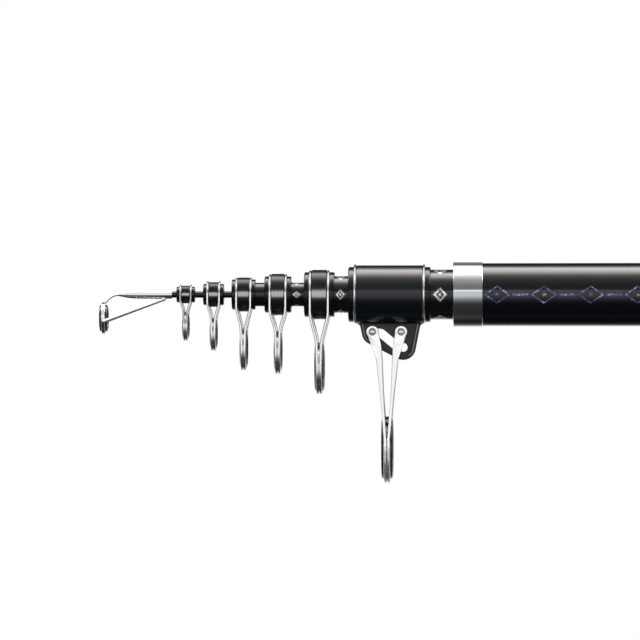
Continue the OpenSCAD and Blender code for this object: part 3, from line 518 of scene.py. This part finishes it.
def threaded_seat():
    """The reel seat's tube: a flat for the reel's foot, and a thread for the nut behind it."""
    pitch = 2 * MM
    depth = 0.45 * MM
    crest = 0.125
    flank = 0.25
    edge = 0.4 * MM
    nudge = 0.01 * MM
    plain_front = 4 * MM
    plain_rear = 3 * MM
    steps_a_pitch = 10
    segments = 192
    flat_z = next(m for m in RECORD["mounts"] if m["name"] == "reel_foot_flat")["pos_m"][2]
    flat_x0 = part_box("fixed_hood")[1].x
    flat_x1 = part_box("moving_hood")[0].x
    low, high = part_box("seat_tube")
    radius = high.z
    bore = min(v.co.yz.length for v in frame["nodes"]["seat_tube"].data.vertices)
    thread_x0 = flat_x1 + plain_front
    thread_x1 = high.x - plain_rear

    def shape(x, angle, r):
        if r < radius - edge - nudge:
            return r
        if thread_x0 < x < thread_x1:
            away = abs((x / pitch - angle / TURN) % 1 - 0.5)
            r -= depth * min(1.0, max(0.0, (away - crest) / flank))
        if flat_x0 <= x <= flat_x1 and r * math.sin(angle) < flat_z:
            r = flat_z / math.sin(angle)
        return r

    xs = [low.x + edge, flat_x0 - nudge, flat_x0, flat_x1, flat_x1 + nudge, high.x - edge]
    xs = sorted(xs + stations(thread_x0, thread_x1, pitch / steps_a_pitch))
    profile = [(low.x, bore), (low.x, radius - edge)]
    profile += [(x, radius) for x in xs]
    profile += [(high.x, radius - edge), (high.x, bore)]
    dress(lathe("seat_thread", profile, segments, shape), "seat_tube")


def foam_pad():
    """The foam disc on the cap's plug, for the section roots: soft edges and a crowned face."""
    edge_share = 0.45
    crown_share = 0.06
    top_share = 0.4
    back_share = 0.97
    steps = 8
    segments = 96
    low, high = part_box("cushion")
    radius = high.z
    thick = high.x - low.x
    edge = edge_share * thick
    profile = [(high.x, NEAR_AXIS), (high.x, radius * back_share)]
    for step in range(steps + 1):
        turn = math.pi / 2 * step / steps
        x = low.x + thick * crown_share + edge * (1 - math.sin(turn))
        profile.append((x, radius - edge * (1 - math.cos(turn))))
    profile += [(low.x, radius * top_share), (low.x, NEAR_AXIS)]
    pad = lathe("foam_pad", profile, segments, closed=False)
    dress(pad, "cushion")


def clean_copy(node):
    """A CAD node's mesh with its seams closed and its flat faces whole, for edges to be worked."""
    seam = 0.001 * MM
    flat = math.radians(0.5)
    build = bmesh.new()
    build.from_mesh(frame["nodes"][node].data)
    bmesh.ops.remove_doubles(build, verts=build.verts, dist=seam)
    bmesh.ops.dissolve_limit(build, angle_limit=flat, verts=build.verts, edges=build.edges)
    return build


def finished(node, build, angle=EDGE_ANGLE):
    """A CAD node's own form after its edges were worked."""
    name = node + "_finished"
    mesh = mesh_from(build, name)
    if "custom_normal" in mesh.attributes:
        mesh.attributes.remove(mesh.attributes["custom_normal"])
    smooth(mesh, angle)
    return dress(add_object(name, mesh), node)


def softened(node, build, width, segments=3, angle=EDGE_ANGLE):
    """A CAD node's own form with its sharp edges broken, as a finished part has them."""
    piece = finished(node, build, angle)
    bevel = piece.modifiers.new("broken_edges", "BEVEL")
    bevel.width = width
    bevel.segments = segments
    bevel.limit_method = "ANGLE"
    bevel.angle_limit = math.radians(angle)
    bevel.harden_normals = True
    return piece


def rim_loops(faces):
    """The closed runs of edges round a flat set of faces."""
    rim = {e for f in faces for e in f.edges if sum(g in faces for g in e.link_faces) == 1}
    loops = []
    while rim:
        loop = [rim.pop()]
        for edge in loop:
            near = {e for v in edge.verts for e in v.link_edges} & rim
            rim -= near
            loop.extend(near)
        loops.append(loop)
    return loops


def steepness(edge):
    """How much of an edge's length is height, from 0 to 1."""
    start, end = (v.co for v in edge.verts)
    return abs(end.z - start.z) / (end - start).length


def finished_bracket():
    """The folding guide's bracket: its raised plates' steep edges get a pale grey bevel, a painted
    highlight along those edges.
    """
    steep = 0.55
    flush = 0.005 * MM
    painted_highlight_width = 0.3 * MM
    soft_width = 0.15 * MM
    soft_steps = 2
    soft_angle = 60
    build = clean_copy("fold_bracket")
    face_y = max(v.co.y for v in build.verts)
    chosen = []
    for y in (-face_y, face_y):
        plate = {f for f in build.faces if all(abs(v.co.y - y) < flush for v in f.verts)}
        outer = max(rim_loops(plate), key=lambda loop: sum(e.calc_length() for e in loop))
        chosen += [edge for edge in outer if steepness(edge) > steep]
    # The bevels take material 1, the pale grey: painted highlight along the plate edges.
    bmesh.ops.bevel(build, geom=chosen, offset=painted_highlight_width, segments=1, affect="EDGES", material=1)
    bracket = softened("fold_bracket", build, soft_width, soft_steps, soft_angle)
    bracket.data.materials.append(EDGE_HIGHLIGHT_PAINT)


def finished_stirrup(node):
    """A stirrup of the folding guide, rounded round its eyes and along its legs."""
    eye_z = -16.5 * MM
    bend_z = -24 * MM
    steep = 0.7
    level = 0.2
    long = 1.5 * MM
    corner = math.radians(50)
    width = 0.22 * MM
    shading_angle = 25
    build = clean_copy(node)
    chosen = []
    for edge in build.edges:
        upright = steepness(edge) > steep and edge.calc_length() > long
        on_eye = min(v.co.z for v in edge.verts) > eye_z
        if (upright or on_eye) and edge.calc_face_angle() > corner:
            chosen.append(edge)
    bmesh.ops.bevel(
        build, geom=chosen, offset=width, segments=2, profile=0.5, affect="EDGES", material=1
    )
    stirrup = finished(node, build, shading_angle)
    mesh = stirrup.data
    # The rounded edges take the darker steel: painted shade along the legs' edges.
    mesh.materials.append(LEG_EDGE_SHADE)
    for edge in mesh.edges:
        start, end = (mesh.vertices[index].co for index in edge.vertices)
        across = abs(end.z - start.z) < level * (end - start).length
        if across and bend_z < start.z < eye_z:
            edge.use_edge_sharp = True
    return stirrup


def weave(build, rings):
    """Quads over a closed run of closed rings of points."""
    grid = [[build.verts.new(spot) for spot in ring] for ring in rings]
    for low, high in zip(grid, grid[1:] + grid[:1]):
        for corners in zip(low, low[1:] + low[:1], high[1:] + high[:1], high):
            build.faces.new(corners)


def full_turn(steps):
    return [TURN * step / steps for step in range(steps)]


def round_wire(build, path, radius, sides=14):
    """A round wire along a closed run of points that never heads along X."""
    rings = []
    for before, here, after in zip(path[-1:] + path[:-1], path, path[1:] + path[:1]):
        ahead = (after - before).normalized()
        across = Vector((1, 0, 0))
        across = (across - ahead * across.dot(ahead)).normalized()
        out = ahead.cross(across)
        rings.append(
            [here + radius * (math.cos(t) * across + math.sin(t) * out) for t in full_turn(sides)]
        )
    weave(build, rings)


def ring_holder(build, x, z, rim, half):
    """A hoop round a guide's ring, with its outer corners broken."""
    thick = 0.5 * MM
    edge = 0.12 * MM
    sides = 96
    bore = rim - thick
    section = [
        (-half, bore), (-half, rim - edge), (edge - half, rim),
        (half - edge, rim), (half, rim - edge), (half, bore),
    ]
    rings = []
    for t in full_turn(sides):
        rings.append([(x + a, r * math.cos(t), z + r * math.sin(t)) for a, r in section])
    weave(build, rings)


def arc_points(z, radius, start, end, count):
    """Points in the plane across the rod on an arc about the height z."""
    turns = [start + (end - start) * step / count for step in range(count + 1)]
    return [(radius * math.cos(t), z + radius * math.sin(t)) for t in turns]


def line_points(start, end, count):
    """Points between two ends, without the ends."""
    shares = [step / count for step in range(1, count)]
    return [tuple(a + (b - a) * share for a, b in zip(start, end)) for share in shares]


def guide_wires(number):
    """A guide's frame: two wires bent round the band and, side by side, round the ring's holder."""
    glue = 0.03 * MM
    half_gap = 0.08 * MM
    sunk = 0.2 * MM
    meet_share = 0.6
    bend_wires = 3
    bend_steps = 8
    hoop_steps = 64
    leg_steps = 40
    eye_steps = 72
    node = f"guide_{number}_frame"
    low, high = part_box(node)
    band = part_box(f"guide_{number}_band")
    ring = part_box(f"guide_{number}_ring")
    middle = (low.x + high.x) / 2
    wire = ((high.x - low.x) / 2 - (band[1].x - band[0].x) / 2 - glue) / 2
    hoop_x = high.x - middle - wire
    side_x = wire + half_gap
    hoop = high.z - wire
    ring_z = (ring[0].z + ring[1].z) / 2
    eye = ring_z - low.z - wire
    bend_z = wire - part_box(f"guide_{number}_sleeve")[1].z
    meet_z = ring_z + eye + wire
    meet_x = side_x + meet_share * wire
    soft = bend_wires * wire

    def sprung(z):
        """How far a wire with sharp bends stands from the guide's middle at a height."""
        if z > bend_z:
            return hoop_x
        if z > meet_z:
            return meet_x + (hoop_x - meet_x) * (z - meet_z) / (bend_z - meet_z)
        return side_x + (meet_x - side_x) * max(0.0, z - ring_z) / (meet_z - ring_z)

    def bent(z):
        """The same with soft bends."""
        count = 2 * bend_steps + 1
        return sum(sprung(z + soft * (step / bend_steps - 1)) for step in range(count)) / count

    lean = math.asin((eye - hoop) / -ring_z)
    top = arc_points(0, hoop, lean, math.pi - lean, hoop_steps)
    bottom = arc_points(ring_z, eye, math.pi - lean, TURN + lean, eye_steps)
    left = line_points(top[-1], bottom[0], leg_steps)
    right = line_points(bottom[-1], top[0], leg_steps)
    build = bmesh.new()
    for side in (-1, 1):
        path = [Vector((middle + side * bent(z), y, z)) for y, z in top + left + bottom + right]
        round_wire(build, path, wire)
    ring_holder(build, middle, ring_z, eye - wire + sunk, side_x + wire)
    bmesh.ops.recalc_face_normals(build, faces=build.faces)
    mesh = mesh_from(build, node + "_wires")
    smooth(mesh)
    return dress(add_object(f"guide_{number}_wires", mesh), node)


fine_blank("butt_section", "butt_blank", segments=192, material=violet_butt())
for node, name, segments, behind, size in (
    ("fourth_section", "fourth_blank", 160, "fold_sleeve", 2.8 * MM),
    ("third_section", "third_blank", 128, "guide_5_sleeve", 1.8 * MM),
    ("second_section", "second_blank", 112, "guide_4_sleeve", 1.6 * MM),
):
    fine_blank(node, name, segments, mouth_print(node, behind, size))
fine_tip()
wrapped_grip()
threaded_seat()
foam_pad()
finished_bracket()
STIRRUPS = [finished_stirrup(node) for node in ("front_stirrup", "rear_stirrup")]
for shell in ("fixed_hood", "moving_hood"):
    softened(shell, clean_copy(shell), width=0.5 * MM)
GUIDE_WIRES = [guide_wires(number) for number in GUIDES]
for node, obj in frame["nodes"].items():
    obj.data.materials.clear()
    obj.data.materials.append(OWN_FINISH.get(node) or FINISH[SLOT[node]])


# Studio, whose cards reach from beyond the tip to beyond the butt
STUDIO_X = (-2.6, 2.0)
CARD_RADIUS = 1.3
NEAR_RADIUS = 1.2
END_LEVEL = 0.12
WARM = (1.0, 0.94, 0.9)
COOL = (0.95, 1.0, 1.03)


def stage_material(name):
    """An empty material and its node tree."""
    material = bpy.data.materials.new(name)
    material.use_nodes = True
    material.node_tree.nodes.clear()
    return material, Nodes(material.node_tree)


def floor():
    """A pale floor under the rod that fades out towards its rim."""
    middle = (-0.25, 0, -1.45)
    reach = 2.9
    fade_from = 0.45 * reach
    fade_to = 0.95 * reach
    lift_level = 0.22
    material, shade = stage_material("pale_floor")
    spot = shade.node("TexCoord", {}, "Object")
    away = shade.node("VectorMath", {0: spot}, "Value", operation="LENGTH")
    span = {"Value": away, "From Min": fade_from, "From Max": fade_to}
    fade = shade.node("MapRange", span, interpolation_type="SMOOTHSTEP")
    paint = shade.node("BsdfDiffuse", {"Color": rgba((0.9, 0.9, 0.9))})
    seen = shade.node("LightPath", {}, "Is Camera Ray")
    lift = shade.node("MapRange", {"Value": seen, "To Max": lift_level})
    glow = shade.node("Emission", {"Strength": lift})
    pale = shade.node("AddShader", {0: paint, 1: glow})
    clear = shade.node("BsdfTransparent", {})
    both = shade.node("MixShader", {"Fac": fade, 1: pale, 2: clear})
    shade.node("OutputMaterial", {"Surface": both})
    build = bmesh.new()
    bmesh.ops.create_circle(build, cap_ends=True, radius=reach, segments=96)
    mesh = mesh_from(build, "floor")
    mesh.materials.append(material)
    obj = add_object("floor", mesh)
    obj.location = middle


def card_material(name, clear):
    """A card that is as bright as its points' level; a clear one adds it to what is behind."""
    material, shade = stage_material(name)
    level = shade.node("Attribute", {}, "Color", attribute_name="level")
    surface = shade.node("Emission", {"Color": level})
    if clear:
        surface = shade.node("AddShader", {0: surface, 1: shade.node("BsdfTransparent", {})})
    shade.node("OutputMaterial", {"Surface": surface})
    return material


CARD = card_material("studio_card", False)
CLEAR_CARD = card_material("clear_card", True)


def finish_card(build, name, levels, tint=WHITE, material=CARD):
    """A card that only mirror-like rays see."""
    mesh = mesh_from(build, name)
    colours = [(*(level * share for share in tint), 1) for level in levels]
    store = mesh.attributes.new("level", "FLOAT_COLOR", "POINT")
    store.data.foreach_set("color", [part for colour in colours for part in colour])
    mesh.materials.append(material)
    obj = add_object(name, mesh)
    for ray in ("camera", "diffuse", "transmission", "volume_scatter", "shadow"):
        setattr(obj, "visible_" + ray, False)
    return obj


def tent(name, stops, tint=WHITE, material=CARD, radius=CARD_RADIUS):
    """A curved card along the rod; its stops are angles above the front horizon and levels."""
    build = bmesh.new()
    rows = []
    for angle, _ in stops:
        turn = math.radians(angle)
        y = -radius * math.cos(turn)
        z = radius * math.sin(turn)
        rows.append([build.verts.new((x, y, z)) for x in STUDIO_X])
    for low, high in zip(rows, rows[1:]):
        build.faces.new((low[0], low[1], high[1], high[0]))
    levels = [level for _, level in stops for _ in STUDIO_X]
    return finish_card(build, name, levels, tint, material)


def end_card(name, x):
    """An upright card beyond one end of the rod."""
    build = bmesh.new()
    bmesh.ops.create_circle(build, cap_ends=True, radius=CARD_RADIUS, segments=32)
    for v in build.verts:
        v.co = Vector((x, v.co.x, v.co.y))
    finish_card(build, name, [END_LEVEL] * len(build.verts))


def shine_on(light, name, receivers, state="INCLUDE"):
    """A lamp or card lights these pieces alone, or all but these."""
    group = bpy.data.collections.new(name)
    for piece in receivers:
        group.objects.link(piece)
    for entry in group.collection_objects:
        entry.light_linking.link_state = state
    light.light_linking.receiver_collection = group


def own_card(name, stops, receivers):
    """A clear card inside the others, for these pieces alone."""
    card = tent(name, stops, material=CLEAR_CARD, radius=NEAR_RADIUS)
    shine_on(card, name + "_pieces", receivers)


def look_at(obj, spot, aim):
    obj.location = spot
    obj.rotation_euler = (Vector(aim) - Vector(spot)).to_track_quat("-Z", "Y").to_euler()


def lamp(name, spot, aim, size, power):
    data = bpy.data.lights.new(name, "AREA")
    data.shape = "RECTANGLE"
    data.size, data.size_y = size
    data.energy = power
    obj = add_object(name, data)
    look_at(obj, spot, aim)
    obj.visible_camera = False
    obj.visible_glossy = False
    return obj


def band_strip():
    """A strip light that only the guides' bands mirror, level with them in front."""
    strip = lamp(
        "band_strip", spot=(-0.65, -0.25, 0.016), aim=(-0.65, 0, 0), size=(0.6, 0.14), power=6
    )
    strip.visible_glossy = True
    strip.visible_diffuse = False
    shine_on(strip, "guide_bands", cad(*GUIDE_BANDS))


# How bright the cards are at each angle above the front horizon
FRONT_STRIP = [(11, 1.6), (15.5, 1.6)]
FRONT_FADE = [
    (17, 0.37), (27, 0.29), (35, 0.35), (42, 0.43), (50, 0.54), (58, 0.75), (66, 1.1), (75, 1.9)
]
SOFTBOX = [(75, 0.9), (84, 4.0), (95, 7.5), (107, 8.5), (115, 6.0), (120, 1.2)]
BACK_CARD = [(120, 2.2), (127, 0.6), (136, 0.06), (162, 0.06), (174, 0.5)]
LOWER_BACK = [
    (212, 0.8), (221, 0.19), (238, 0.04), (252, 0.02), (273, 0.075), (283, 0.045), (300, 0.04)
]
LOWER_FRONT = [
    (300, 0.04), (322, 0.055), (330, 0.09), (338, 0.23), (345, 0.47), (352, 0.8), (356, 0.97)
]
LEG_CARD = [(12, 0.3), (18, 0.6), (36, 0.6), (48, 0.4), (60, 0.1)]
LOOP_CARD = [
    (300, 0.02), (310, 0.2), (322, 0.5), (336, 0.55), (346, 0.4), (352, 0.2), (358, 0.02)
]
WIRE_CARD = [
    (304, 0.01), (314, 0.08), (324, 0.22), (336, 0.4), (346, 0.36), (352, 0.2), (358, 0.02)
]
FERRULE_CARD = [(136, 0.2), (150, 0.24), (174, 0.2)]


def studio():
    """A floor, cards all round that the gloss mirrors, and two soft lamps."""
    floor()
    softbox = tent("softbox", SOFTBOX, WARM, CLEAR_CARD)
    shaded = GUIDE_WIRES + cad("fold_front_trim", "fold_rear_trim", "fold_bezel")
    shine_on(softbox, "softbox_shaded", shaded, "EXCLUDE")
    own_card("leg_card", LEG_CARD, STIRRUPS + cad("tip_top_frame"))
    own_card("loop_card", LOOP_CARD, STIRRUPS)
    own_card("wire_card", WIRE_CARD, GUIDE_WIRES)
    own_card("ferrule_card", FERRULE_CARD, cad("mouth_ferrule"))
    tent("front_fade", FRONT_FADE)
    tent("back_card", BACK_CARD)
    tent("lower_back", LOWER_BACK)
    tent("lower_front", LOWER_FRONT, COOL)
    tent("front_strip", FRONT_STRIP)
    for name, x in zip(("tip_end_card", "butt_end_card"), STUDIO_X):
        end_card(name, x)
    lamp("key", spot=(-0.25, 0.15, 1.1), aim=(-0.25, 0, 0), size=(3.0, 1.0), power=26)
    lamp("fill", spot=(-0.4, -2.2, 0.9), aim=(-0.4, 0, 0), size=(2.4, 1.4), power=34)
    band_strip()


def white_world():
    """White where the camera or a mirror looks, and a dimmer even light for the rest."""
    dim = 0.4
    world = bpy.data.worlds.new("studio_white")
    world.use_nodes = True
    bpy.context.scene.world = world
    shade = Nodes(world.node_tree)
    back = world.node_tree.nodes["Background"]
    back.inputs["Color"].default_value = rgba(WHITE)
    seen = shade.node("LightPath", {}, "Is Camera Ray")
    for ray in ("Is Glossy Ray", "Is Transmission Ray"):
        seen = shade.math("MAXIMUM", seen, shade.node("LightPath", {}, ray))
    level = shade.node("MapRange", {"Value": seen, "To Min": dim, "To Max": 1.0})
    world.node_tree.links.new(level, back.inputs["Strength"])


def camera():
    """Level with the rod, a little to the butt's side of the picture's middle."""
    data = bpy.data.cameras.new("camera")
    data.lens = 277
    data.sensor_width = 36
    data.clip_end = 50
    obj = add_object("camera", data)
    look_at(obj, spot=(-0.504, -1.8, 0), aim=(-0.5662, 0, -0.0093))
    bpy.context.scene.camera = obj


studio()
white_world()
camera()
bpy.context.scene.view_settings.view_transform = "Standard"
